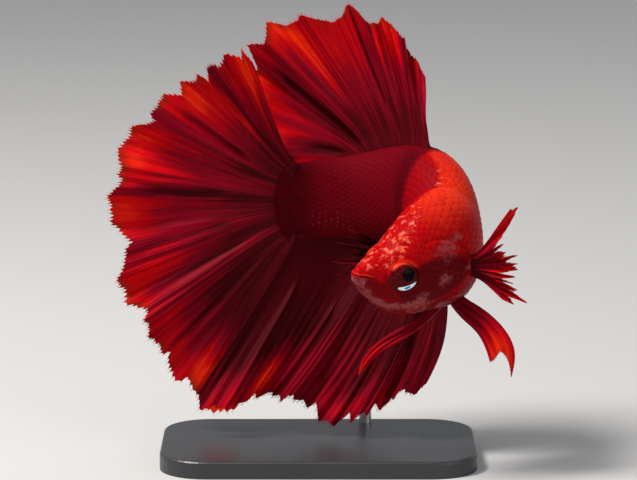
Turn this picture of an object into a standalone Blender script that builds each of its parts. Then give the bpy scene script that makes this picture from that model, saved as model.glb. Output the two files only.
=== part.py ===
"""A life-size halfmoon betta turning back on itself, held above a flat base by one bent rod.

Sizes are in millimetres and become metres where a mesh is made. X runs to the right, Y away from the
side the fish is looked at, and Z up. The pose is laid out round a zero of its own, in the middle of the
fish, and POSE_ZERO says where that is above the middle of the base's underside.
"""

import math

import bmesh
import bpy
import numpy as np
from mathutils import Matrix, Vector

MM = 0.001
GAP = 0.35  # clear space between neighbouring pieces
POSE_ZERO = np.array((0.0, -4.0, 28.8))

# The line through the middle of the body, snout first: x, y, z, and how far the back rolls to the left.
SPINE = (
    (4.3, -14.1, -1.8, 14),
    (9.1, -9.8, -2.2, 12),
    (15.0, -5.0, -0.1, -2),
    (15.7, -1.1, 1.2, -5),
    (14.7, 2.8, 4.0, -4),
    (12.0, 7.0, 4.8, -1),
    (4.9, 10.5, 3.6, 2),
    (-3.4, 8.2, 3.4, 3),
)

# The body's outline: share of the length from the snout, then height over and under the line, half width.
OUTLINE = (
    (0.00, 0.55, 0.70, 0.65),
    (0.025, 1.75, 1.75, 1.30),
    (0.07, 2.80, 3.20, 2.45),
    (0.14, 4.85, 5.55, 3.80),
    (0.21, 6.40, 6.30, 4.40),
    (0.30, 7.30, 7.30, 4.85),
    (0.42, 6.95, 7.00, 4.80),
    (0.56, 6.55, 6.50, 4.40),
    (0.72, 6.05, 5.90, 3.50),
    (0.87, 5.55, 5.15, 2.30),
    (0.96, 5.25, 4.75, 1.20),
    (1.00, 5.05, 4.60, 0.60),
)
SIDE_FULLNESS = 2.15  # 2 is an ellipse, more is squarer
AROUND = 28  # facets round the body

# Where the snout begins and where the body is parted, as shares of the line's length.
SNOUT, HEAD_END, TRUNK_MID, STEM_START = 0.012, 0.30, 0.52, 0.76

EYE_AT, EYE_UP, EYE_RADIUS, EYE_DEPTH, EYE_BULGE = 0.126, 0.62, 2.0, 1.05, 0.30
EYE_FACES = (0.93, 0.30, 0.18)  # how far it looks outward, forward and up
GILL_AT, GILL_DOWN = 0.242, 0.9
GILL_SIZE = (2.6, 3.9, 1.0)  # half length, half height and depth of a gill cover
GILL_FORWARD = 0.14  # how far it turns to the front for each step outward
JAW_TILT, JAW_LENGTH, JAW_DROP = 30, 4.8, 0.1
JAW_BLOCK = (9, 12)  # reach and width of the block that cuts the jaw, past the head on all sides

FIN_THICKNESS = 0.55
FIN_CLEAR = GAP + 0.1  # from the body's skin to a fin's root
FOLD_EASE = 1.3  # how late along a ray the pleats open
NUDGE = 1e-3  # the step for reading a direction off a curve

# Fins by their guide rays, evenly spaced along the root: angle in degrees from +X towards +Z, length,
# and how far the tip stands to the far side.
DORSAL_BASE = (0.568, 0.80)
DORSAL_RAYS = (
    (97, 9.2, 3.4),
    (101, 14.2, 2.4),
    (105, 16.4, 1.1),
    (109, 17.6, -0.2),
    (111, 19.2, -1.2),
    (116, 18.8, -1.7),
    (123, 20.4, -1.4),
    (130, 21.2, -0.9),
    (139, 20.4, -0.2),
    (154, 16.0, 0.4),
    (195, 10.2, 0.3),
)
DORSAL_NOTCHES = (0.0, 0.11, 0.28, 0.50, 0.66, 0.76, 0.84, 0.955, 1.0)
ANAL_BASE = (0.42, 0.975)
ANAL_RAYS = (
    (259, 15.6, -1.1),
    (255, 19.9, -2.2),
    (251, 22.8, -1.6),
    (247, 25.0, -1.2),
    (243, 26.0, -2.0),
    (239, 24.4, -2.5),
    (237, 24.0, -3.4),
    (237, 23.4, -4.3),
    (239, 23.4, -4.8),
    (239, 25.0, -4.8),
    (237, 24.6, -4.6),
)
ANAL_NOTCHES = (0.0, 0.09, 0.18, 0.30, 0.46, 0.56, 0.66, 0.77, 0.89, 1.0)
TAIL_ROOT_SHARE, TAIL_ROOT_BOW = 0.97, 0.3  # part of the body's height it grows from, and its bulge
CAUDAL_RAYS = (
    (106, 17.0, -7.3),
    (121, 18.1, -5.2),
    (135, 18.9, -3.5),
    (148, 20.6, -2.9),
    (162, 22.2, -2.3),
    (179, 23.2, -1.7),
    (194, 22.2, -1.7),
    (205, 24.0, -1.5),
    (218, 23.2, -1.2),
    (230, 24.6, -0.6),
    (252, 25.6, 0.8),
)
CAUDAL_NOTCHES = (0.0, 0.05, 0.14, 0.24, 0.32, 0.46, 0.585, 0.76, 0.88, 0.93, 1.0)

PECTORAL_AT, PECTORAL_DOWN, PECTORAL_ROOT = 0.302, 1.9, 1.2
PECTORAL_LEFT_RAYS = (
    (-39, 6.4, -2.7),
    (-24, 6.9, -2.4),
    (-8, 5.4, -2.1),
    (6, 6.2, -1.9),
    (22, 5.8, -1.9),
    (44, 5.4, -2.0),
    (58, 11.6, -2.5),
)
PECTORAL_LEFT_NOTCHES = (0.0, 0.25, 0.42, 0.58, 0.74, 0.88, 1.0)
PECTORAL_RIGHT_RAYS = (
    (200, 8.4, -0.6),
    (190, 9.8, -0.8),
    (178, 10.4, -1.0),
    (166, 9.6, -1.0),
    (152, 8.8, -0.8),
)
PECTORAL_RIGHT_NOTCHES = (0.0, 0.2, 0.4, 0.6, 0.8, 1.0)
PELVIC_LEFT_ROOT, PELVIC_RIGHT_ROOT = (0.29, 291), (0.285, 268)  # share of the length, turn round the body
PELVIC_LEFT_LINE = (
    (18.4, -7.0, -7.7),
    (20.3, -8.2, -9.0),
    (21.8, -9.0, -10.9),
    (22.5, -9.6, -12.9),
    (22.6, -9.8, -15.4),
)
PELVIC_LEFT_WIDTHS, PELVIC_LEFT_ENDS = (0.7, 1.15, 1.35, 1.6, 1.6, 1.1), (0.84, 0.8, 0.74, 0.85, 1)
PELVIC_LEFT_EDGE = (0.8, 0, 0.6)
PELVIC_RIGHT_LINE = (
    (12.1, -5.4, -9.8),
    (9.6, -5.4, -11.3),
    (6.9, -5.0, -13.3),
    (5.0, -4.5, -16.2),
)
PELVIC_RIGHT_WIDTHS, PELVIC_RIGHT_ENDS = (0.4, 0.65, 0.75, 0.65, 0.3), (0.9, 0.95, 1, 0.95, 0.9)
PELVIC_RIGHT_EDGE = (0.7, 0, -0.7)

BASE_SIZE, BASE_CORNER, BASE_HEIGHT, BASE_BEVEL = (40.0, 24.0), 6.0, 2.2, 0.4
ROD_RADIUS, ROD_SIDES, ROD_BEND, ROD_STEPS = 0.8, 20, 4.0, 9
ROD_AT, ROD_TURN = 0.80, 315  # where on the body it ends: share of the length, and turn round the body
ROD_SINK = 0.6  # how deep its foot stands in the base's socket
ROD_CLEAR, ROD_END_GAP = 0.05, 0.455  # round its foot in the socket, and from its end to the body


def unit(vector):
    return vector / np.linalg.norm(vector)


def smooth_curve(knots, values):
    """A natural cubic spline through values at knots, as a function of one number."""
    knots, values = np.asarray(knots, float), np.asarray(values, float)
    values = values.reshape(len(knots), -1)
    step = np.diff(knots)
    slope = np.diff(values, axis=0) / step[:, None]
    system, right = np.eye(len(knots)), np.zeros_like(values)
    for i in range(1, len(knots) - 1):
        system[i, i - 1 : i + 2] = step[i - 1], 2 * (step[i - 1] + step[i]), step[i]
        right[i] = 6 * (slope[i] - slope[i - 1])
    bend = np.linalg.solve(system, right)

    def at(x):
        x = min(max(x, knots[0]), knots[-1])
        i = min(int(np.searchsorted(knots, x, "right")), len(step)) - 1
        before, after, h = x - knots[i], knots[i + 1] - x, step[i]
        curved = (bend[i] * after**3 + bend[i + 1] * before**3) / (6 * h)
        start = (values[i] / h - bend[i] * h / 6) * after
        return curved + start + (values[i + 1] / h - bend[i + 1] * h / 6) * before

    return at


def guide(rows):
    """A smooth curve through evenly spaced rows of numbers, read from 0 to 1."""
    return smooth_curve(np.linspace(0, 1, len(rows)), rows)


def by_length(points):
    """The curve through points read by its share of the length, and that length. Places come first."""
    points = np.asarray(points, float)
    chords = np.linalg.norm(np.diff(points[:, :3], axis=0), axis=1)
    curve = smooth_curve(np.concatenate([[0], np.cumsum(chords)]), points)
    fine = np.linspace(0, chords.sum(), 400)
    places = np.array([curve(x)[:3] for x in fine])
    run = np.concatenate([[0], np.cumsum(np.linalg.norm(np.diff(places, axis=0), axis=1))])
    return lambda share: curve(np.interp(share * run[-1], run, fine)), run[-1]


spine_at, BODY_LENGTH = by_length(SPINE)
outline_at = smooth_curve([row[0] for row in OUTLINE], [row[1:] for row in OUTLINE])


def body_frame(share):
    """The line's place, and the directions forward, left and up, at a share of the body's length."""
    ahead, behind = spine_at(max(share - NUDGE, 0)), spine_at(min(share + NUDGE, 1))
    here = spine_at(share)
    roll = math.radians(here[3])
    forward = unit((ahead - behind)[:3])
    level = unit(np.array((0, 0, 1.0)) - forward * forward[2])
    up = level * math.cos(roll) + np.cross(level, forward) * math.sin(roll)
    return here[:3], forward, np.cross(up, forward), up


def body_point(share, turn, out=0.0):
    """A point on the body. turn goes round it in degrees: 0 left side, 90 back, 180 right side, 270 belly."""
    over, under, wide = outline_at(share)
    place, _, left, up = body_frame(share)
    across, rise = math.cos(math.radians(turn)), math.sin(math.radians(turn))
    power = 2 / SIDE_FULLNESS
    side = math.copysign(abs(across) ** power, across) * (wide + out)
    height = math.copysign(abs(rise) ** power, rise) * ((over if rise > 0 else under) + out)
    return place + left * side + up * height


def beside(share, forward, left, up):
    """A point given by its distances from the line at a share of the length."""
    place, ahead, across, over = body_frame(share)
    return place + ahead * forward + across * left + over * up


def metres(point):
    """A point of the pose as a place in metres."""
    return Vector(point + POSE_ZERO) * MM


def collection(name):
    made = bpy.data.collections.new(name)
    bpy.context.scene.collection.children.link(made)
    return made


def finish(name, color, roughness, metallic=0.0):
    """A plain material of one colour."""
    material = bpy.data.materials.new(name)
    material.use_nodes = True
    shader = material.node_tree.nodes["Principled BSDF"]
    shader.inputs["Base Color"].default_value = (*color, 1)
    shader.inputs["Roughness"].default_value = roughness
    shader.inputs["Metallic"].default_value = metallic
    return material


def put(name, shape, material, group, smooth=True):
    """The bmesh as an object of its own, faces outward."""
    bmesh.ops.recalc_face_normals(shape, faces=shape.faces)
    if shape.calc_volume(signed=True) < 0:
        bmesh.ops.reverse_faces(shape, faces=shape.faces)
    mesh = bpy.data.meshes.new(name)
    shape.to_mesh(mesh)
    shape.free()
    mesh.materials.append(material)
    if smooth:
        mesh.shade_smooth()
    made = bpy.data.objects.new(name, mesh)
    group.objects.link(made)
    return made


def twin(obj, name, group):
    """A copy of the object's mesh without its modifiers."""
    made = bpy.data.objects.new(name, obj.data.copy())
    group.objects.link(made)
    return made


def shaped_grid(columns, rows, surface):
    """A grid laid on surface(across, along), both from 0 to 1."""
    shape = bmesh.new()
    bmesh.ops.create_grid(shape, x_segments=columns, y_segments=rows, size=1)
    for vertex in shape.verts:
        vertex.co = metres(surface((vertex.co.x + 1) / 2, (vertex.co.y + 1) / 2))
    return shape


def body_length(name, start, end, rows, material, group, crowd=1.0):
    """One closed length of the body, with flat ends. crowd above 1 sets its rings closer to the start."""
    shape = shaped_grid(
        AROUND, rows, lambda turn, along: body_point(start + (end - start) * along**crowd, 360 * turn)
    )
    bmesh.ops.remove_doubles(shape, verts=shape.verts, dist=1e-6)
    bmesh.ops.holes_fill(shape, edges=[edge for edge in shape.edges if edge.is_boundary])
    return put(name, shape, material, group)


def ball(name, centre, axes, sizes, material, group):
    """A sphere stretched by sizes along axes, with its poles on the last of them."""
    shape = bmesh.new()
    bmesh.ops.create_uvsphere(shape, u_segments=18, v_segments=10, radius=1)
    for vertex in shape.verts:
        stretched = [axis * size * part for axis, size, part in zip(axes, sizes, vertex.co)]
        vertex.co = metres(centre + sum(stretched))
    return put(name, shape, material, group)


def use(obj, tool, operation="DIFFERENCE"):
    """Cuts obj with the tool, or keeps only what they share, and hides the tool."""
    modifier = obj.modifiers.new(tool.name, "BOOLEAN")
    modifier.operation = operation
    modifier.object = tool
    modifier.solver = "EXACT"
    tool.hide_render = True
    tool.display_type = "WIRE"


def axes_round(out, forward):
    """Three directions at right angles: forward as near as out allows, the third, and out."""
    ahead = unit(forward - out * (forward @ out))
    return ahead, np.cross(out, ahead), out


def eye_place(side):
    """An eye's centre and directions. side is 1 for left and -1 for right."""
    _, forward, left, up = body_frame(EYE_AT)
    outward, ahead, rise = EYE_FACES
    out = unit(left * side * outward + forward * ahead + up * rise)
    reach = outline_at(EYE_AT)[2] - EYE_DEPTH + EYE_BULGE
    return beside(EYE_AT, 0, side * reach, EYE_UP), axes_round(out, forward)


def gill_place(side):
    """A gill cover's middle and directions."""
    _, forward, left, _ = body_frame(GILL_AT)
    middle = beside(GILL_AT, 0, side * outline_at(GILL_AT)[2], -GILL_DOWN)
    return middle, axes_round(unit(left * side + forward * GILL_FORWARD), forward)


def jaw_wedge(name, grow, material, group):
    """The block of space below the line of the mouth and ahead of the jaw's hinge."""
    reach, width = JAW_BLOCK
    place, forward, left, up = body_frame(0)
    tilt = math.radians(JAW_TILT)
    ahead = forward * math.cos(tilt) + up * math.sin(tilt)
    down = np.cross(left, ahead)
    down *= -math.copysign(1, down @ up)
    corner = place - ahead * (JAW_LENGTH + grow) - up * JAW_DROP - down * grow
    shape = bmesh.new()
    bmesh.ops.create_cube(shape, size=1)
    for vertex in shape.verts:
        along, across, drop = vertex.co
        spot = ahead * (along + 0.5) * reach + left * across * width + down * (drop + 0.5) * reach
        vertex.co = metres(corner + spot)
    return put(name, shape, material, group, smooth=False)


def make_body(skin, eye, wire, parts, tools):
    share_gap = GAP / BODY_LENGTH
    head = body_length("head", SNOUT, HEAD_END, 14, skin, parts, crowd=1.5)
    body_length("trunk_front", HEAD_END + share_gap, TRUNK_MID, 7, skin, parts)
    body_length("trunk_rear", TRUNK_MID + share_gap, STEM_START, 7, skin, parts)
    body_length("tail_stem", STEM_START + share_gap, 1, 6, skin, parts)

    jaw = twin(head, "lower_jaw", parts)
    use(jaw, jaw_wedge("jaw_wedge", 0, wire, tools), "INTERSECT")
    for side, word in ((1, "left"), (-1, "right")):
        middle, axes = gill_place(side)
        cover = twin(head, "gill_cover_" + word, parts)
        use(cover, ball("plate_" + word, middle, axes, GILL_SIZE, wire, tools), "INTERSECT")
        pocket = [size + GAP for size in GILL_SIZE]
        use(head, ball("pocket_" + word, middle, axes, pocket, wire, tools))

        centre, axes = eye_place(side)
        sizes = (EYE_RADIUS, EYE_RADIUS, EYE_DEPTH)
        ball("eye_" + word, centre, axes, sizes, eye, parts)
        socket = [size + GAP for size in sizes]
        use(head, ball("socket_" + word, centre, axes, socket, wire, tools))
    use(head, jaw_wedge("jaw_space", GAP, wire, tools))


def lobed(across, notches, depth, fullness):
    """How much of a ray's length is left at a margin of lobes. fullness under 1 rounds them."""
    here = max(i for i, notch in enumerate(notches[:-1]) if across >= notch)
    part = (across - notches[here]) / (notches[here + 1] - notches[here])
    return 1 - depth * (1 - max(math.sin(math.pi * part), 0) ** fullness)


def fan(root, rays, notches, depth=0.09, fullness=0.6, folds=8, fold_depth=0.9, bow=0.0):
    """A pleated fan. bow curves its first rays by so many degrees, and the rest less and less."""
    ray_at = guide(rays)

    def flat(across, along):
        angle, length, far = ray_at(across)
        reach = length * lobed(across, notches, depth, fullness) * along
        turn = math.radians(angle + bow * (1 - across) * (1 - along))
        return root(across) + np.array((math.cos(turn) * reach, far * along, math.sin(turn) * reach))

    def surface(across, along):
        side = flat(min(across + NUDGE, 1), 0.5) - flat(max(across - NUDGE, 0), 0.5)
        out = flat(across, 1) - flat(across, 0)
        wave = math.sin(2 * math.pi * folds * across) * fold_depth * along**FOLD_EASE
        return flat(across, along) + unit(np.cross(side, out)) * wave

    return surface


def ribbon(line, half_widths, edge, ends):
    """A narrow fin along a line. edge is the way across it, and ends says how far each part of it reaches."""
    line_at, width_at, end_at = guide(line), guide(half_widths), guide(ends)
    edge = np.array(edge)

    def surface(across, along):
        reach = along * end_at(across)[0]
        ahead = unit(line_at(min(reach + NUDGE, 1)) - line_at(max(reach - NUDGE, 0)))
        over = unit(edge - ahead * (ahead @ edge))
        return line_at(reach) + over * (2 * across - 1) * width_at(reach)[0]

    return surface


def fin(name, surface, columns, rows, material, group):
    """A grid on the surface, given its thickness evenly on both sides."""
    made = put(name, shaped_grid(columns, rows, surface), material, group)
    wall = made.modifiers.new("thickness", "SOLIDIFY")
    wall.thickness = FIN_THICKNESS * MM
    wall.offset = 0


def along_body(base, turn):
    """The root of a fin on the back or the belly, from its first ray to its last."""
    return lambda across: body_point(base[0] + (base[1] - base[0]) * across, turn, FIN_CLEAR)


def tail_root(across):
    """The bowed edge that the tail fin grows from, top to bottom."""
    over, under, _ = outline_at(1)
    bulge = TAIL_ROOT_BOW * math.sin(math.pi * across)
    return beside(1, -FIN_CLEAR - bulge, 0, (over - (over + under) * across) * TAIL_ROOT_SHARE)


def pectoral_root(side):
    reach = side * (outline_at(PECTORAL_AT)[2] + FIN_CLEAR)
    return lambda across: beside(PECTORAL_AT, 0, reach, (2 * across - 1) * PECTORAL_ROOT - PECTORAL_DOWN)


def make_fins(membrane, parts):
    dorsal = fan(
        along_body(DORSAL_BASE, 90), DORSAL_RAYS, DORSAL_NOTCHES, depth=0.10, fullness=1.5, folds=7
    )
    fin("dorsal_fin", dorsal, 38, 5, membrane, parts)
    anal = fan(along_body(ANAL_BASE, 270), ANAL_RAYS, ANAL_NOTCHES, folds=7, bow=20)
    fin("anal_fin", anal, 44, 6, membrane, parts)
    caudal = fan(tail_root, CAUDAL_RAYS, CAUDAL_NOTCHES, folds=9, fold_depth=1.0)
    fin("caudal_fin", caudal, 54, 5, membrane, parts)
    sparse = {"depth": 0.2, "folds": 2.5, "fold_depth": 0.3}
    left = fan(pectoral_root(1), PECTORAL_LEFT_RAYS, PECTORAL_LEFT_NOTCHES, **sparse)
    fin("pectoral_fin_left", left, 20, 4, membrane, parts)
    right = fan(pectoral_root(-1), PECTORAL_RIGHT_RAYS, PECTORAL_RIGHT_NOTCHES, **sparse)
    fin("pectoral_fin_right", right, 20, 4, membrane, parts)
    line = (body_point(*PELVIC_LEFT_ROOT, FIN_CLEAR), *PELVIC_LEFT_LINE)
    left = ribbon(line, PELVIC_LEFT_WIDTHS, PELVIC_LEFT_EDGE, PELVIC_LEFT_ENDS)
    fin("pelvic_fin_left", left, 6, 10, membrane, parts)
    line = (body_point(*PELVIC_RIGHT_ROOT, FIN_CLEAR), *PELVIC_RIGHT_LINE)
    right = ribbon(line, PELVIC_RIGHT_WIDTHS, PELVIC_RIGHT_EDGE, PELVIC_RIGHT_ENDS)
    fin("pelvic_fin_right", right, 4, 8, membrane, parts)


def rod_line():
    """The rod's middle line, foot first: straight up, then bending into the far side of the body."""
    surface = body_point(ROD_AT, ROD_TURN)
    out = unit(surface - body_point(ROD_AT, ROD_TURN, -1))
    out = unit(np.array((0, out[1], out[2])))
    end = surface + out * ROD_END_GAP
    lean = math.atan2(out[1], -out[2])
    centre = end + np.array((0, -math.cos(lean), -math.sin(lean))) * ROD_BEND
    bend = [
        centre + np.array((0, math.cos(lean * part), math.sin(lean * part))) * ROD_BEND
        for part in np.linspace(0, 1, ROD_STEPS)
    ]
    foot = bend[0].copy()
    foot[2] = BASE_HEIGHT - ROD_SINK - POSE_ZERO[2]
    return [foot, *bend]


def make_rod(metal, parts):
    shape = bmesh.new()
    rings = []
    line = rod_line()
    across = np.array((1.0, 0, 0))
    for i, place in enumerate(line):
        ahead = unit(line[min(i + 1, len(line) - 1)] - line[max(i - 1, 0)]) if i else np.array((0, 0, 1.0))
        over = np.cross(ahead, across)
        turns = [2 * math.pi * k / ROD_SIDES for k in range(ROD_SIDES)]
        spots = [place + (across * math.cos(a) + over * math.sin(a)) * ROD_RADIUS for a in turns]
        rings.append([shape.verts.new(metres(spot)) for spot in spots])
    for one, two in zip(rings, rings[1:]):
        for k in range(ROD_SIDES):
            m = (k + 1) % ROD_SIDES
            shape.faces.new((one[k], one[m], two[m], two[k]))
    shape.faces.new(rings[0])
    shape.faces.new(rings[-1])
    put("stand_rod", shape, metal, parts)


def make_base(board, wire, parts, tools):
    """A rounded plate with an eased top edge and a shallow socket for the rod."""
    shape = bmesh.new()
    bmesh.ops.create_cube(shape, size=1)
    for vertex in shape.verts:
        x, y, z = vertex.co
        vertex.co = Vector((x * BASE_SIZE[0], y * BASE_SIZE[1], (z + 0.5) * BASE_HEIGHT)) * MM
    upright = [edge for edge in shape.edges if abs(edge.verts[0].co.z - edge.verts[1].co.z) > MM]
    bmesh.ops.bevel(
        shape, geom=upright, offset=BASE_CORNER * MM, offset_type="OFFSET", segments=10, profile=0.5,
        affect="EDGES",
    )
    top = [
        edge
        for edge in shape.edges
        if all(vertex.co.z > (BASE_HEIGHT - 0.1) * MM for vertex in edge.verts)
    ]
    bmesh.ops.bevel(
        shape, geom=top, offset=BASE_BEVEL * MM, offset_type="OFFSET", segments=3, profile=0.5,
        affect="EDGES",
    )
    base = put("stand_base", shape, board, parts, smooth=False)

    foot = rod_line()[0]
    depth = ROD_SINK + GAP
    socket = bmesh.new()
    place = metres(foot - np.array((0, 0, GAP)) + np.array((0, 0, depth)))
    bmesh.ops.create_cone(
        socket, cap_ends=True, segments=ROD_SIDES, radius1=(ROD_RADIUS + ROD_CLEAR) * MM,
        radius2=(ROD_RADIUS + ROD_CLEAR) * MM, depth=2 * depth * MM, matrix=Matrix.Translation(place),
    )
    use(base, put("socket_rod", socket, wire, tools))


def main():
    for obj in list(bpy.data.objects):
        bpy.data.objects.remove(obj)
    parts, tools = collection("betta_fish"), collection("cutters")
    skin = finish("skin", (0.55, 0.02, 0.02), 0.35)
    eye = finish("eye", (0.03, 0.01, 0.01), 0.08)
    membrane = finish("fin", (0.45, 0.01, 0.03), 0.45)
    metal = finish("rod", (0.5, 0.5, 0.52), 0.3, 1.0)
    board = finish("base", (0.03, 0.03, 0.035), 0.35)
    wire = finish("helper", (0.5, 0.5, 0.5), 0.5)
    make_body(skin, eye, wire, parts, tools)
    make_fins(membrane, parts)
    make_rod(metal, parts)
    make_base(board, wire, parts, tools)


main()
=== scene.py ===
import math

import bpy
import numpy as np
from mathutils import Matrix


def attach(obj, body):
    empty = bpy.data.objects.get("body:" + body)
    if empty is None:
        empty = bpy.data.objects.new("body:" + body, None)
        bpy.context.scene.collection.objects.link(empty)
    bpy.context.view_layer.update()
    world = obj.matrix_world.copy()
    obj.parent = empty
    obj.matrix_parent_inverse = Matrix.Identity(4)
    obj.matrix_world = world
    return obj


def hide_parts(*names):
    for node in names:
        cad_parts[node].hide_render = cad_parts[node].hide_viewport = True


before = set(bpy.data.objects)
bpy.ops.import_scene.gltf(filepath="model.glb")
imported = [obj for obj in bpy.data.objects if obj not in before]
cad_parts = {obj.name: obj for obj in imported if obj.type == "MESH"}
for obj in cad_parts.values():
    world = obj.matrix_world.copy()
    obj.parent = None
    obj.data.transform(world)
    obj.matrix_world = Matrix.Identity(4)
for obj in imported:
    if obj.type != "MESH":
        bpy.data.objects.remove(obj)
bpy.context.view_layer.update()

# Sizes are in millimetres in a frame of the pose's own, and become metres where a mesh gets its points.
mm = 0.001
poseZero = np.array((0.0, -4.0, 28.8))
seed = 7


def unit(vectors):
    length = np.linalg.norm(vectors, axis=-1, keepdims=True)
    return vectors / np.maximum(length, 1e-12)


def ease(low, high, x):
    part = np.clip((x - low) / (high - low), 0, 1)
    return part * part * (3 - 2 * part)


def bell(x, middle, width):
    return np.exp(-(((x - middle) / width) ** 2))


def smoothCurve(knots, values):
    # a natural cubic spline, read with an array of places
    knots = np.asarray(knots, float)
    values = np.asarray(values, float).reshape(len(knots), -1)
    step = np.diff(knots)
    slope = np.diff(values, axis=0) / step[:, None]
    system, right = np.eye(len(knots)), np.zeros_like(values)
    for i in range(1, len(knots) - 1):
        system[i, i - 1 : i + 2] = step[i - 1], 2 * (step[i - 1] + step[i]), step[i]
        right[i] = 6 * (slope[i] - slope[i - 1])
    bend = np.linalg.solve(system, right)

    def at(x):
        x = np.clip(np.asarray(x, float), knots[0], knots[-1])
        i = np.clip(np.searchsorted(knots, x, "right") - 1, 0, len(step) - 1)
        before, after, h = (x - knots[i])[..., None], (knots[i + 1] - x)[..., None], step[i][..., None]
        curved = (bend[i] * after**3 + bend[i + 1] * before**3) / (6 * h)
        start = (values[i] / h - bend[i] * h / 6) * after
        return curved + start + (values[i + 1] / h - bend[i + 1] * h / 6) * before

    return at


def guide(rows):
    return smoothCurve(np.linspace(0, 1, len(rows)), rows)


def byLength(points):
    points = np.asarray(points, float)
    chords = np.linalg.norm(np.diff(points[:, :3], axis=0), axis=1)
    curve = smoothCurve(np.concatenate([[0], np.cumsum(chords)]), points)
    fine = np.linspace(0, chords.sum(), 400)
    places = curve(fine)[:, :3]
    run = np.concatenate([[0], np.cumsum(np.linalg.norm(np.diff(places, axis=0), axis=1))])
    return lambda share: curve(np.interp(np.asarray(share) * run[-1], run, fine)), run[-1]


# The body: a line with its roll, and heights over and under it and half widths along it.
body = {
    "spine": (
        (4.3, -14.1, -1.8, 14), (9.1, -9.8, -2.2, 12), (15.0, -5.0, -0.1, -2), (15.7, -1.1, 1.2, -5),
        (14.7, 2.8, 4.0, -4), (12.0, 7.0, 4.8, -1), (4.9, 10.5, 3.6, 2), (-3.4, 8.2, 3.4, 3),
    ),
    "outline": (
        (0.00, 0.55, 0.70, 0.65), (0.025, 1.75, 1.75, 1.30), (0.07, 2.80, 3.20, 2.45),
        (0.14, 4.85, 5.55, 3.80), (0.21, 6.40, 6.30, 4.40), (0.30, 7.30, 7.30, 4.85),
        (0.42, 6.95, 7.00, 4.80), (0.56, 6.55, 6.50, 4.40), (0.72, 6.05, 5.90, 3.50),
        (0.87, 5.55, 5.15, 2.30), (0.96, 5.25, 4.75, 1.20), (1.00, 5.05, 4.60, 0.60),
    ),
    "fullness": 2.15,
    "coat": 0.15,  # how far the skin lies inside the solids
    "snout": 0.012,  # where along the line the snout's rounded end begins
    "snoutRound": 0.50,
    "tailReach": 2.3,  # how far the flesh runs out over the tail fin's root
    "wedge": 0.86, "wedgeBow": 0.55, "wedgeHalf": 4.8, "wedgeLow": 0.03,
}
spineAt, bodyLength = byLength(body["spine"])
outlineAt = smoothCurve([row[0] for row in body["outline"]], [row[1:] for row in body["outline"]])


def bodyFrame(share):
    # the line's place and the directions forward, left and up
    share = np.asarray(share, float)
    nudge = 1e-3
    ahead, behind = spineAt(np.maximum(share - nudge, 0)), spineAt(np.minimum(share + nudge, 1))
    here = spineAt(share)
    roll = np.radians(here[..., 3:4])
    forward = unit((ahead - behind)[..., :3])
    level = unit(np.array((0, 0, 1.0)) - forward * forward[..., 2:3])
    up = level * np.cos(roll) + np.cross(level, forward) * np.sin(roll)
    return here[..., :3], forward, np.cross(up, forward), up


def ringOffset(share, turn, out=0.0):
    # how far a point of the body's outline is to the left of the line and over it
    outline = outlineAt(share)
    across, rise = np.cos(np.radians(turn)), np.sin(np.radians(turn))
    power = 2 / body["fullness"]
    side = np.sign(across) * np.abs(across) ** power * (outline[..., 2] + out)
    tall = np.where(rise > 0, outline[..., 0], outline[..., 1])
    return side, np.sign(rise) * np.abs(rise) ** power * (tall + out)


def bodyPoint(share, turn, out=0.0):
    share, turn = np.broadcast_arrays(np.asarray(share, float), np.asarray(turn, float))
    place, _, left, up = bodyFrame(share)
    side, height = ringOffset(share, turn, out)
    return place + left * side[..., None] + up * height[..., None]


def evenTurns():
    # for each ring of the body, the turns that part its girth evenly, from the belly up the left side
    turns = np.linspace(-90, 270, 721)
    rows = []
    for share in np.linspace(0, 1, 81):
        ring = bodyPoint(share, turns)
        run = np.concatenate([[0], np.cumsum(np.linalg.norm(np.diff(ring, axis=0), axis=1))])
        rows.append(np.interp(np.linspace(0, 1, 181), run / run[-1], turns))
    return np.array(rows)


turnTable = evenTurns()


def turnAt(share, girth):
    rows, columns = turnTable.shape
    y = np.clip(share, 0, 1) * (rows - 1)
    x = np.clip(girth, 0, 1) * (columns - 1)
    i, k = np.minimum(y.astype(int), rows - 2), np.minimum(x.astype(int), columns - 2)
    y, x = y - i, x - k
    low = turnTable[i, k] * (1 - x) + turnTable[i, k + 1] * x
    high = turnTable[i + 1, k] * (1 - x) + turnTable[i + 1, k + 1] * x
    return low * (1 - y) + high * y


def added(name, data):
    made = bpy.data.objects.new(name, data)
    bpy.context.scene.collection.objects.link(made)
    return made


def pick(piece):
    bpy.ops.object.select_all(action="DESELECT")
    piece.select_set(True)
    bpy.context.view_layer.objects.active = piece


def pointsOf(piece):
    flat = np.empty(len(piece.data.vertices) * 3, np.float32)
    piece.data.vertices.foreach_get("co", flat)
    return flat.reshape(-1, 3).astype(float)


def newGrid(name, columns, rows):
    # a flat grid to be laid on a surface, with its points' places from 0 to 1 both ways
    bpy.ops.mesh.primitive_grid_add(x_subdivisions=columns, y_subdivisions=rows, size=2)
    piece = bpy.context.object
    piece.name = piece.data.name = name
    flat = (pointsOf(piece) + 1) / 2
    return piece, flat[:, 0], flat[:, 1]


def metres(points):
    return (points + poseZero) * mm


def place(piece, points):
    piece.data.vertices.foreach_set("co", metres(points).astype(np.float32).reshape(-1))
    piece.data.update()


def keep(piece, **values):
    # a number for each point, for the finish to read
    for name, numbers in values.items():
        layer = piece.data.attributes.new(name, "FLOAT", "POINT")
        layer.data.foreach_set("value", np.asarray(numbers, np.float32).reshape(-1))


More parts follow.
